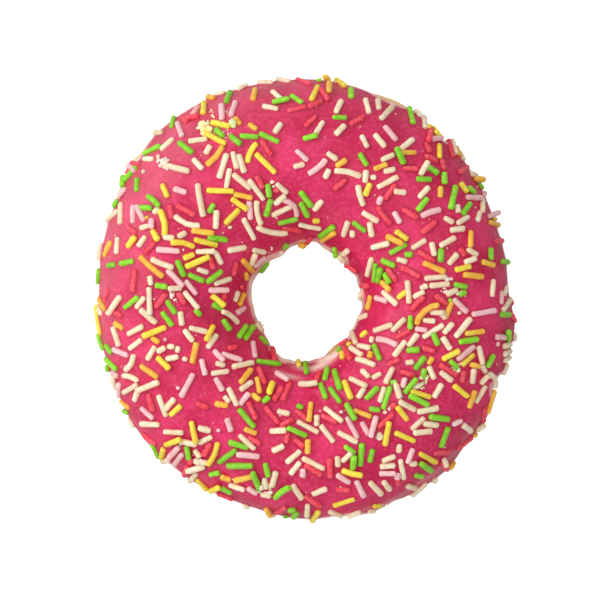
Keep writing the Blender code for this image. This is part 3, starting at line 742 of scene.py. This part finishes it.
def settle(middle, along, up, length, width, sunk):
    # leans a strand along the frosting and presses it in
    reach = strand["feelReach"] * length
    for again in range(2):
        line = middle + np.outer(np.array([-reach, 0, reach]), along)
        ringAngle, sectionAngle, far = sectionOf(line)
        height = far - readTable(skinReach, ringAngle, sectionAngle) - coatLift(ringAngle, sectionAngle)
        along = unit(along - up * (height[2] - height[0]) / (2 * reach))
        middle = middle + up * (width * (0.5 - sunk) - (height[0] + 2 * height[1] + height[2]) / 4)
    return middle, along


def stackStrand(colour, middle, along, up, length, width, bend, mustLay):
    # where others are in the way, one end is lifted over them
    for rise in np.arange(0, strand["stack"], strand["stackStep"]):
        for side in (1, -1):
            leaning = unit(along + up * side * rise / (strand["leanOver"] * length))
            lifted = middle + up * rise * strand["middleRise"]
            if clearance(lineOf(lifted, leaning, length), lifted) > strand["touching"] * width:
                keepStrand(colour, lifted, leaning, up, length, width, bend, rise < strand["atBase"])
                return
    if mustLay:
        keepStrand(colour, middle, along, up, length, width, bend, True)


def placeFromAbove(x, y, lift):
    # the angles of the place on the frosting that lies under x, y
    ringAngle = math.atan2(y - axisY, x - axisX) % math.tau
    distance = math.hypot(x - axisX, y - axisY)
    outside, inHole = edgesAt(ringAngle)
    turns = np.linspace(outside, inHole, coat["seekSteps"])
    around = np.full_like(turns, ringAngle)
    reach = readTable(skinReach, around, turns) + coatLift(around, turns) + lift
    core = np.interp(ringAngle, ringAngles, coreRadius, period=math.tau)
    miss = np.abs(core + reach * np.cos(turns) - distance)
    margin = int(round(0.5 * strand["width"] / reach[0] / (turns[1] - turns[0])))
    return ringAngle, turns[margin:-margin][np.argmin(miss[margin:-margin])]


def layByHand(colour, x, y, heading, length, bend=0):
    length = length * mm
    width = min(strand["width"] * dice.uniform(*strand["widths"]), length * strand["fattest"])
    deeper = strand["redDeeper"] if colour == "red" else 0
    sunk = strand["sunk"] + dice.normal(0, strand["sunkSpread"]) + deeper
    ringAngle, sectionAngle = placeFromAbove(x * mm, y * mm, width * (0.5 - sunk))
    up = unit(readTable(skinNormal, np.float64(ringAngle), np.float64(sectionAngle)))
    middle = onSkin(np.float64(ringAngle), np.float64(sectionAngle), coatLift(ringAngle, sectionAngle))
    flat = np.array([math.cos(math.radians(heading)), math.sin(math.radians(heading)), 0])
    slope = np.array([0, 0, (up @ flat) / max(up[2], strand["steepest"])])
    seen = np.linalg.norm(flat - slope)
    length = max(length, min(length * seen, strand["longest"]))
    middle, along = settle(middle, (flat - slope) / seen, up, length, width, sunk)
    stackStrand(colour, middle, along, up, length, width, math.radians(bend), mustLay=True)


def layAllByHand():
    # the rough red ones lie deepest, and what shows at its full length lies over what is half hidden
    strands = [(colour, *spot) for colour, spots in laidByHand.items() for spot in spots]
    strands.sort(key=lambda item: (item[0] != "red", item[4]))
    for item in strands:
        layByHand(*item)


def coverNow(middle):
    # how much of the frosting is hidden round here
    apart = ((placedMiddles[:len(placed)] - middle) ** 2).sum(1)
    weight = np.exp(-apart / (2 * strand["near"] ** 2)) / (math.tau * strand["near"] ** 2)
    return sum(w * item["length"] * item["width"] for w, item in zip(weight, placed) if w > 1)


def randomColour():
    roll = dice.random()
    for name, share in strand["shares"]:
        if roll < share:
            return name
        roll -= share
    return strand["shares"][0][0]


def scatterOnSides():
    usual, spread, shortest, longest = strand["sideLengths"]
    free, leaningShare = strand["sideMargin"]
    high = math.radians(strand["sideBelt"])
    for attempt in range(strand["sideTries"]):
        ringAngle = np.float64(dice.uniform(0, math.tau))
        outside, inHole = edgesAt(ringAngle)
        sectionAngle = np.float64(dice.uniform(min(outside, high), high))
        length = float(np.clip(dice.normal(usual, spread), shortest, longest)) * mm
        heading = dice.uniform(0, math.pi)
        width = strand["width"] * dice.uniform(*strand["widths"])
        if any(abs(turnApart(math.degrees(ringAngle), place)) < half for place, half in strand["sideBare"]):
            continue
        margin = (sectionAngle - outside) * readTable(skinReach, ringAngle, sectionAngle)
        spot = onSkin(ringAngle, sectionAngle, coatLift(ringAngle, sectionAngle))
        tooLow = margin < free + leaningShare * length * abs(math.sin(heading))
        if tooLow or coverNow(spot) > strand["sideCover"]:
            continue
        up = unit(readTable(skinNormal, ringAngle, sectionAngle))
        east = unit(np.cross((0, 0, 1), up))
        along = math.cos(heading) * east + math.sin(heading) * np.cross(up, east)
        middle, along = settle(spot, along, up, length, width, strand["sunk"])
        if clearance(lineOf(middle, along, length), middle) > width:
            colour = randomColour()
            bend = math.radians(dice.normal(0, strand["sideBend"]))
            keepStrand(colour, middle, along, up, length, width, bend, True)


layAllByHand()
print(len(placed), "strands laid by hand")
scatterOnSides()
print(len(placed), "strands with those on the sides")


def shapeStrand(item):
    # the end roundings keep their size while the strand is stretched, then it is bent and laid in place
    half, modelHalf = item["length"] / 2, strand["length"] / 2
    body = modelHalf - strand["rounding"] * 1.01
    x, y, z = strandPoints.T
    longer = half - modelHalf
    stretched = np.where(np.abs(x) > body, x + np.sign(x) * longer, x * (body + longer) / body)
    phase = item["tone"] * 40
    lumpy = strand["redLumpy" if item["colour"] == "red" else "lumpy"]
    slow, fast = strand["lumpWaves"]
    waves = np.sin(x / mm * slow + phase) + np.sin(x / mm * fast + np.arctan2(y, z) + phase * 3)
    swell = item["width"] / strand["width"] * (1 + lumpy * waves)
    y, z = y * swell, z * swell
    turn = item["bend"] if abs(item["bend"]) > strand["leastBend"] else strand["leastBend"]
    curl = turn / item["length"]
    angle = stretched * curl
    lineX = np.sin(angle) / curl
    lineY = (1 - np.cos(angle)) / curl - (1 - math.cos(turn / 2)) / curl * strand["bendShift"]
    side = np.cross(item["up"], item["along"])
    return (item["middle"] + np.outer(lineX - y * np.sin(angle), item["along"])
            + np.outer(lineY + y * np.cos(angle), side) + np.outer(z, item["up"]))


def joinShapes(name, shapes, faces, tones):
    # many copies of one shape as a single piece, each with its own shade
    count = len(shapes[0])
    points = np.concatenate(shapes)
    allFaces = [tuple(i + count * n for i in face) for n in range(len(shapes)) for face in faces]
    mesh = bpy.data.meshes.new(name)
    mesh.from_pydata(points.tolist(), [], allFaces)
    mesh.shade_smooth()
    addValues(mesh, "tone", np.repeat(tones, count))
    mesh.update()
    piece = bpy.data.objects.new(name, mesh)
    bpy.context.scene.collection.objects.link(piece)
    return piece


# the sugar's colours, and what else differs in the wrinkled red

sugar = {
    "cream": {"colour": paint(252, 231, 203), "blotch": paint(244, 214, 176)},
    "green": {"colour": paint(150, 220, 55), "blotch": paint(128, 202, 36)},
    "yellow": {"colour": paint(250, 227, 87), "blotch": paint(249, 212, 62)},
    "orange": {"colour": paint(255, 200, 84), "blotch": paint(255, 178, 60)},
    "pink": {"colour": paint(255, 202, 202), "blotch": paint(253, 184, 188)},
    "red": {"colour": paint(255, 102, 122), "blotch": paint(255, 46, 68),
            "blotchSize": 0.55 * mm, "grainSize": 0.3 * mm, "mottle": 0.7, "bump": 0.2 * mm},
}
sugarShades = (0.90, 1.10)     # how dark and how light a single strand or crumb may be


def sugarMaterial(name, colours, glow=0.6):
    look = {"blotchSize": 1.3 * mm, "grainSize": 0.16 * mm, "mottle": 0.12, "bump": 0.05 * mm,
            "shader": {"Roughness": 0.4, "Specular IOR Level": 0.4, "Subsurface Weight": glow,
                       "Subsurface Radius": (1.0, 0.8, 0.6), "Subsurface Scale": 1.2 * mm}}
    look.update(colours)
    material, tree, shader, tone = startMaterial(name, look)
    each = addNode(tree, "ShaderNodeAttribute", (-900, 300), attribute_name="tone")
    brightness = addNode(tree, "ShaderNodeMapRange", (-700, 300))
    brightness.inputs["To Min"].default_value, brightness.inputs["To Max"].default_value = sugarShades
    shade = addNode(tree, "ShaderNodeHueSaturation", (-400, 100))
    tree.links.new(each.outputs["Fac"], brightness.inputs["Value"])
    tree.links.new(brightness.outputs[0], shade.inputs["Value"])
    tree.links.new(tone.outputs["Colour"], shade.inputs["Color"])
    tree.links.new(shade.outputs[0], shader.inputs["Base Color"])
    return material


for colourName, share in strand["shares"]:
    chosen = [item for item in placed if item["colour"] == colourName]
    strands = joinShapes(colourName + "Sprinkles", [shapeStrand(item) for item in chosen], strandFaces,
                         [item["tone"] for item in chosen])
    strands.data.materials.append(sugarMaterial(colourName + "Sugar", sugar[colourName]))
    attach(strands, "root")
    print(strands.name, len(chosen))


# broken sugar: clumps of fused grains, and loose crumbs between the strands

crumb = {
    "rough": 0.28, "pile": 0.8 * mm, "sizes": (0.5, 1.1), "stretch": (0.75, 1.25), "raised": 0.2,
    "stray": 0.7,        # how far grains lie from a clump's middle, as a share of its spread
    # each clump: x and y in mm from the middle, how far it spreads, its grains, their size in mm and colour
    "clumps": ((-22.0, 37.6, 0.9, 34, 1.2, "paleYellow"), (-20.7, 37.2, 0.7, 14, 1.1, "paleYellow"),
               (-20.6, 40.8, 0.7, 5, 0.6, "paleYellow"), (-17.4, 41.2, 0.8, 16, 0.3, "cream"),
               (-17.0, 36.2, 0.7, 14, 0.4, "cream"), (-17.2, 38.8, 0.7, 10, 0.3, "cream"),
               (-15.6, 38.4, 0.35, 10, 1.6, "paleGreen"), (-7.0, 25.2, 0.5, 7, 0.7, "cream"),
               (-30.7, 29.7, 0.8, 26, 1.2, "cream"), (-32.6, 19.4, 0.5, 12, 0.9, "paleYellow"),
               (-29.2, 0.9, 0.5, 12, 0.8, "cream"), (-28.3, -0.1, 0.3, 4, 0.6, "cream"),
               (30.9, 4.4, 0.6, 9, 0.8, "cream"), (30.4, 2.2, 0.5, 7, 0.7, "cream"),
               (34.0, 1.3, 0.5, 8, 0.7, "paleGreen"), (30.4, -3.2, 0.4, 9, 0.9, "cream"),
               (26.0, -17.4, 0.7, 16, 0.8, "paleGreen"), (25.4, -19.0, 0.6, 12, 0.7, "paleGreen"),
               (33.3, -15.4, 0.5, 10, 0.8, "paleGreen"), (34.0, -14.3, 0.3, 5, 0.6, "paleYellow"),
               (19.4, -18.2, 0.3, 9, 0.9, "paleGreen"), (18.6, -23.6, 0.4, 6, 0.6, "cream"),
               (17.6, -24.5, 0.3, 5, 0.6, "cream"), (16.3, -29.9, 0.4, 9, 0.9, "cream"),
               (-23.0, -35.3, 0.6, 12, 1.0, "cream"), (-9.4, -41.0, 0.7, 16, 0.9, "cream"),
               (-8.0, -42.2, 0.5, 10, 0.8, "cream"), (-7.5, -41.1, 0.3, 5, 0.7, "paleGreen"),
               (-27.2, -31.1, 0.4, 7, 0.8, "cream"), (-7.5, 11.2, 0.3, 3, 0.5, "cream"),
               (-7.9, 9.9, 0.3, 3, 0.5, "cream"), (-42.2, -17.8, 0.4, 6, 0.8, "cream"),
               (26.3, -40.3, 0.3, 2, 0.5, "cream"), (17.6, -45.1, 0.3, 2, 0.5, "cream"),
               (-9.9, -5.8, 0.5, 9, 0.9, "cream"), (-5.4, 10.2, 0.4, 5, 0.8, "cream")),
    "loose": (("cream", 120), ("paleGreen", 30), ("paleYellow", 30)),
    # loose crumbs: their size in mm, how far off a strand they lie, and the least rise of its normal
    "looseSize": (0.2, 0.45), "looseSpread": 1.5 * mm, "looseSlope": 0.5,
    "slots": {"cream": "cream_sugar", "paleGreen": "green_sugar", "paleYellow": "yellow_sugar"},
    "colours": {"cream": {"colour": paint(255, 246, 230), "blotch": paint(255, 236, 214)},
                "paleGreen": {"colour": paint(246, 252, 206), "blotch": paint(226, 244, 160)},
                "paleYellow": {"colour": paint(255, 250, 210), "blotch": paint(255, 240, 164)}},
    "glow": 0.05,
}


def modelCrumb():
    bpy.ops.object.select_all(action="DESELECT")
    bpy.ops.mesh.primitive_ico_sphere_add(subdivisions=1, radius=0.5, location=(0, 0, 0))
    return bpy.context.object


crumbModel = modelCrumb()
crumbPoints = readPoints(crumbModel.data)
crumbFaces = [tuple(face.vertices) for face in crumbModel.data.polygons]
bpy.data.objects.remove(crumbModel)


def shapeCrumb(x, y, size, raised=0):
    # a rough grain at x, y, half sunk in the frosting or raised on a pile
    ringAngle, sectionAngle = placeFromAbove(x, y, 0)
    lift = coatLift(ringAngle, sectionAngle) + crumb["raised"] * size + raised
    place = onSkin(np.float64(ringAngle), np.float64(sectionAngle), lift)
    stretch = dice.uniform(*crumb["stretch"], 3)
    roughened = crumbPoints * (1 + crumb["rough"] * dice.uniform(-1, 1, (len(crumbPoints), 1)))
    return place + roughened * stretch * size


crumbs = {name: [] for name, count in crumb["loose"]}
for x, y, spread, grains, size, colourName in crumb["clumps"]:
    for grain in range(grains):
        stray = dice.normal(0, spread * crumb["stray"], 2)
        raised = crumb["pile"] * size * dice.random() * math.exp(-(stray @ stray) / spread ** 2)
        crumbs[colourName].append(shapeCrumb((x + stray[0]) * mm, (y + stray[1]) * mm,
                                             size * dice.uniform(*crumb["sizes"]) * mm, raised))
for colourName, count in crumb["loose"]:
    # loose crumbs have mostly broken off a strand nearby
    for item in dice.choice(placed, count):
        x, y = item["middle"][:2] + dice.normal(0, crumb["looseSpread"], 2)
        if item["up"][2] > crumb["looseSlope"]:
            crumbs[colourName].append(shapeCrumb(x, y, dice.uniform(*crumb["looseSize"]) * mm))
for colourName, shapes in crumbs.items():
    piece = joinShapes(colourName + "Crumbs", shapes, crumbFaces, dice.random(len(shapes)))
    piece.data.shade_flat()
    piece.data.materials.append(sugarMaterial(colourName + "Crumb", crumb["colours"][colourName],
                                              crumb["glow"]))
    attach(piece, "root")
    print(piece.name, len(shapes))


# frosting: the laid coat, drawn up a little round every strand, darkened round every strand with painted
# shade and stained by the red ones' dye

# how far the darkening round a strand reaches, and its strength beside red strands (dye stain and painted
# contact shade) and beside the others (painted contact shade)
wetting = {"height": 0.2 * mm, "width": 0.28 * mm, "steepness": 1.3, "stainAndShade": 0.4 * mm,
           "redDyeAndShade": 0.65, "otherContactShade": 0.3, "feelers": 9}


def strandTree():
    low = [item for item in placed if item["atBase"]]
    tree = KDTree(len(low) * wetting["feelers"])
    owners = []
    for item in low:
        for along in np.linspace(-0.5, 0.5, wetting["feelers"]):
            reach = item["length"] - item["width"]
            tree.insert(item["middle"] + item["along"] * along * reach, len(owners))
            owners.append(item)
    tree.balance()
    return tree, owners


def drawUp(points, normals, isTop):
    tree, owners = strandTree()
    rise, stainAndShade = np.zeros(len(points)), np.zeros(len(points))
    for i in np.nonzero(isTop)[0]:
        near, index, apart = tree.find(points[i])
        gap = max(0.0, apart - owners[index]["width"] / 2)
        rise[i] = wetting["height"] * math.exp(-(gap / wetting["width"]) ** wetting["steepness"])
        # painted contact shade round every strand, stronger beside the red ones, where their dye's stain is
        # added
        strength = wetting["redDyeAndShade" if owners[index]["colour"] == "red" else "otherContactShade"]
        stainAndShade[i] = strength * math.exp(-(gap / wetting["stainAndShade"]) ** 2)
    return points + normals * rise[:, None], stainAndShade


frostingLook = {
    "colour": paint(198, 28, 79), "blotch": paint(223, 51, 104),
    "blotchSize": 7 * mm, "grainSize": 0.8 * mm, "mottle": 0.25, "bump": 0.06 * mm,
    "speck": paint(240, 130, 160), "speckShare": 0.2, "speckFrom": 0.5, "speckFull": 0.75,
    # the stain colour: the red dye's stain and painted shade
    # the thin colour: thin glaze over the dough, and painted sheen and highlights
    "stainAndShade": paint(166, 20, 56), "thinAndSheen": paint(255, 226, 213), "roughness": (0.30, 0.42),
    "shader": {"Specular IOR Level": 0.2, "Subsurface Weight": 0.15, "Subsurface Radius": (1.0, 0.35, 0.4),
               "Subsurface Scale": 0.8 * mm, "Coat Weight": 0.08, "Coat Roughness": 0.12},
}


def frostingMaterial():
    material, tree, shader, tone = startMaterial("pinkFrosting", frostingLook)
    specks = addNode(tree, "ShaderNodeMapRange", (-700, 700))
    specks.inputs["From Min"].default_value = frostingLook["speckFrom"]
    specks.inputs["From Max"].default_value = frostingLook["speckFull"]
    specks.inputs["To Max"].default_value = frostingLook["speckShare"]
    paler = addNode(tree, "ShaderNodeMix", (-700, 300), data_type="RGBA")
    paler.inputs[7].default_value = frostingLook["speck"]
    tree.links.new(tone.outputs["Grain"], specks.inputs["Value"])
    tree.links.new(specks.outputs[0], paler.inputs["Factor"])
    tree.links.new(tone.outputs["Colour"], paler.inputs[6])
    before = paler.outputs[2]
    # mixes in the stain with its painted shade, then the thin glaze with its painted sheen and highlights
    for row, name in enumerate(["stainAndShade", "thinAndSheen"]):
        share = addNode(tree, "ShaderNodeAttribute", (-900, 500 - 250 * row), attribute_name=name)
        mix = addNode(tree, "ShaderNodeMix", (-600 + 200 * row, 300), data_type="RGBA")
        mix.inputs[7].default_value = frostingLook[name]
        tree.links.new(share.outputs["Fac"], mix.inputs["Factor"])
        tree.links.new(before, mix.inputs[6])
        before = mix.outputs[2]
    tree.links.new(before, shader.inputs["Base Color"])
    gloss = addNode(tree, "ShaderNodeMapRange", (-400, -100))
    gloss.inputs["To Min"].default_value, gloss.inputs["To Max"].default_value = frostingLook["roughness"]
    tree.links.new(tone.outputs["Grain"], gloss.inputs["Value"])
    tree.links.new(gloss.outputs[0], shader.inputs["Roughness"])
    return material


def rimPalenessAndHighlight(points, ringAngle, sectionAngle):
    # the paler last stretch of the coat: partly dough showing through, partly a painted highlight on the edge
    rim = coat["rim"]
    outside, inHole = edgesAt(ringAngle)
    reach = readTable(skinReach, ringAngle, sectionAngle)
    toRim = np.minimum((sectionAngle - outside) * reach / rim["outside"],
                       (inHole - sectionAngle) * reach / rim["inHole"])
    patches = rim["patchMiddle"] + rim["patchSpread"] * bumps(points, rim["patchSize"])
    return rim["strength"] * np.exp(-np.maximum(toRim, 0) ** rim["sharpness"]) * patches


frosting = startRing("frostingCoat", coat["around"], coat["section"], coat["levels"])
ringAngle, sectionAngle, lift, isTop = layCoat(readPoints(frosting.data))
coatPoints = onSkin(ringAngle, sectionAngle, lift)
coatNormals = unit(readTable(skinNormal, ringAngle, sectionAngle))
coatPoints, stainAndShade = drawUp(coatPoints, coatNormals, isTop)
writePoints(frosting.data, coatPoints)
# darker where the red dye stains it, and painted shade round every strand and on slopes turned from the light
addValues(frosting.data, "stainAndShade", np.maximum(stainAndShade, swelling(ringAngle, sectionAngle, coat["shadedSlopes"])))
# paler at the edges and thin places: dough seen through thin glaze, plus painted highlights and sheen
paleRimAndHighlight = rimPalenessAndHighlight(coatPoints, ringAngle, sectionAngle)
addValues(frosting.data, "thinAndSheen", swelling(ringAngle, sectionAngle, coat["thinAndSheen"]) + paleRimAndHighlight)
frosting.data.materials.append(frostingMaterial())
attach(frosting, "root")
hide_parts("frosting")
print("frosting laid,", len(frosting.data.polygons), "faces")


# dough: fried crust with a pale belt where it floated, and painted light where it shows in the hole

dough = {
    "around": 120, "section": 38, "levels": 2,
    # lumps, each with a size and a height, and the height above the foot where they begin
    "lumps": ((16 * mm, 0.35 * mm), (5 * mm, 0.12 * mm), (1.8 * mm, 0.05 * mm)), "footCalm": 2 * mm,
    "beltHeight": 12.6 * mm, "beltWidth": 3.5 * mm, "beltGroove": 0.15 * mm,
    "beltWander": 1.2 * mm, "wanderSize": 9 * mm,
    # where the bare dough swells past the frosting's edge: angle round the ring, half width, angle round the
    # section, half breadth and height
    "bulges": ((307, 22, 188, 30, 2.4 * mm), (141, 8, -6, 22, 1.7 * mm), (154, 8, -6, 22, 0.9 * mm),
               (63, 12, -6, 22, 1.5 * mm), (287, 10, -6, 22, 1.3 * mm)),
    # where it is paler: painted light on the dough in the hole's shade, and paler crust outside; given in the
    # same way with a strength
    "paleAndLit": ((298, 24, 182, 24, 0.9), (64, 16, 0, 16, 0.2)), "paleAndLitColour": paint(252, 210, 142),
}


def doughMaterial():
    look = {"colour": paint(214, 148, 76), "blotch": paint(188, 116, 52), "blotchSize": 5 * mm,
            "grainSize": 0.9 * mm, "mottle": 0.4, "bump": 0.14 * mm,
            "shader": {"Roughness": 0.62, "Specular IOR Level": 0.35, "Subsurface Weight": 0.1,
                       "Subsurface Radius": (1.0, 0.6, 0.3), "Subsurface Scale": 1.0 * mm}}
    material, tree, shader, tone = startMaterial("friedDough", look)
    # the pale belt where it floated, and painted light on the dough in the hole
    paleAndLitShare = addNode(tree, "ShaderNodeAttribute", (-900, 300), attribute_name="paleBeltAndLight")
    mix = addNode(tree, "ShaderNodeMix", (-500, 100), data_type="RGBA")
    mix.inputs[7].default_value = dough["paleAndLitColour"]
    tree.links.new(paleAndLitShare.outputs["Fac"], mix.inputs["Factor"])
    tree.links.new(tone.outputs["Colour"], mix.inputs[6])
    tree.links.new(mix.outputs[2], shader.inputs["Base Color"])
    return material


crust = startRing("doughRing", dough["around"], dough["section"], dough["levels"])
plain = readPoints(crust.data)
ringAngle = np.arctan2(plain[:, 1], plain[:, 0])
sectionAngle = np.arctan2(plain[:, 2], np.hypot(plain[:, 0], plain[:, 1]) - plainRing["majorRadius"])
bare = onSkin(ringAngle, sectionAngle, np.zeros(len(plain)))
lumps = sum(height * bumps(bare, size) for size, height in dough["lumps"])
wander = bare[:, 2] + dough["beltWander"] * bumps(bare, dough["wanderSize"], 2)
lumps += swelling(ringAngle, sectionAngle, dough["bulges"])
paleBeltAndLight = np.exp(-((wander - dough["beltHeight"]) / dough["beltWidth"]) ** 4)
# painted light on the dough in the hole's shade, and paler crust outside, join the pale belt
paleBeltAndLight = np.maximum(paleBeltAndLight, swelling(ringAngle, sectionAngle, dough["paleAndLit"]))
calm = np.clip(bare[:, 2] / dough["footCalm"], 0, 1)
lumps = (lumps - dough["beltGroove"] * paleBeltAndLight) * calm
doughPoints = onSkin(ringAngle, sectionAngle, lumps)
doughPoints[:, 2] = np.maximum(doughPoints[:, 2], 0)
writePoints(crust.data, doughPoints)
addValues(crust.data, "paleBeltAndLight", paleBeltAndLight)
crust.data.materials.append(doughMaterial())
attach(crust, "root")
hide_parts("dough")
print("dough ring shaped")


# table, lights and camera

studio = {
    "shotWidth": 134.6 * mm, "aim": (0.22 * mm, 0.33 * mm, 14 * mm), "distance": 2.5,
    "world": 0.6, "floorSize": 3, "floorDrop": 0.1 * mm, "floorShade": 0.46, "floorGlow": (0.05, 1.0),
    # each soft box: angle round the object, height above the horizon, distance, size, power
    "boxes": ((158, 38, 0.8, 0.7, 4.1), (245, 28, 0.8, 0.6, 1.0), (60, 80, 0.8, 0.7, 1.1)),
}


def tableMaterial():
    # glows white for the camera but throws little light on the doughnut, and is clear from below
    material = bpy.data.materials.new("whiteTable")
    material.use_nodes = True
    tree = material.node_tree
    shader = tree.nodes["Principled BSDF"]
    shader.inputs["Base Color"].default_value = (studio["floorShade"],) * 3 + (1,)
    shader.inputs["Roughness"].default_value = 0.8
    shader.inputs["Emission Color"].default_value = (1, 1, 1, 1)
    ray = addNode(tree, "ShaderNodeLightPath", (-600, -300))
    glow = addNode(tree, "ShaderNodeMapRange", (-300, -300))
    glow.inputs["To Min"].default_value = studio["floorGlow"][0]
    glow.inputs["To Max"].default_value = studio["floorGlow"][1]
    tree.links.new(ray.outputs["Is Camera Ray"], glow.inputs["Value"])
    tree.links.new(glow.outputs[0], shader.inputs["Emission Strength"])
    side = addNode(tree, "ShaderNodeNewGeometry", (100, 300))
    clear = addNode(tree, "ShaderNodeBsdfTransparent", (100, -200))
    mix = addNode(tree, "ShaderNodeMixShader", (400, 100))
    tree.links.new(side.outputs["Backfacing"], mix.inputs[0])
    tree.links.new(shader.outputs[0], mix.inputs[1])
    tree.links.new(clear.outputs[0], mix.inputs[2])
    tree.links.new(mix.outputs[0], tree.nodes["Material Output"].inputs["Surface"])
    return material


def buildStudio():
    bpy.ops.object.select_all(action="DESELECT")
    bpy.ops.mesh.primitive_plane_add(size=studio["floorSize"], location=(0, 0, -studio["floorDrop"]))
    floor = bpy.context.object
    floor.name = "floor"
    floor.data.materials.append(tableMaterial())
    target = Vector(studio["aim"])
    for i, (turn, height, distance, size, power) in enumerate(studio["boxes"]):
        light = bpy.data.lights.new(f"softBox{i}", "AREA")
        light.shape = "SQUARE"
        light.size = size
        light.energy = power
        lamp = bpy.data.objects.new(light.name, light)
        bpy.context.scene.collection.objects.link(lamp)
        a, e = math.radians(turn), math.radians(height)
        back = Vector((math.cos(a) * math.cos(e), math.sin(a) * math.cos(e), math.sin(e)))
        lamp.location = target + back * distance
        lamp.rotation_euler = back.to_track_quat("Z", "Y").to_euler()
    world = bpy.data.worlds.new("studio")
    world.use_nodes = True
    world.node_tree.nodes["Background"].inputs["Color"].default_value = (1, 1, 1, 1)
    world.node_tree.nodes["Background"].inputs["Strength"].default_value = studio["world"]
    bpy.context.scene.world = world
    camera = bpy.data.cameras.new("camera")
    camera.sensor_width = 36
    camera.lens = camera.sensor_width * studio["distance"] / studio["shotWidth"]
    shot = bpy.data.objects.new("camera", camera)
    bpy.context.scene.collection.objects.link(shot)
    shot.location = target + Vector((0, 0, studio["distance"]))
    bpy.context.scene.camera = shot
    bpy.context.scene.view_settings.view_transform = "Standard"


buildStudio()
print("studio set")
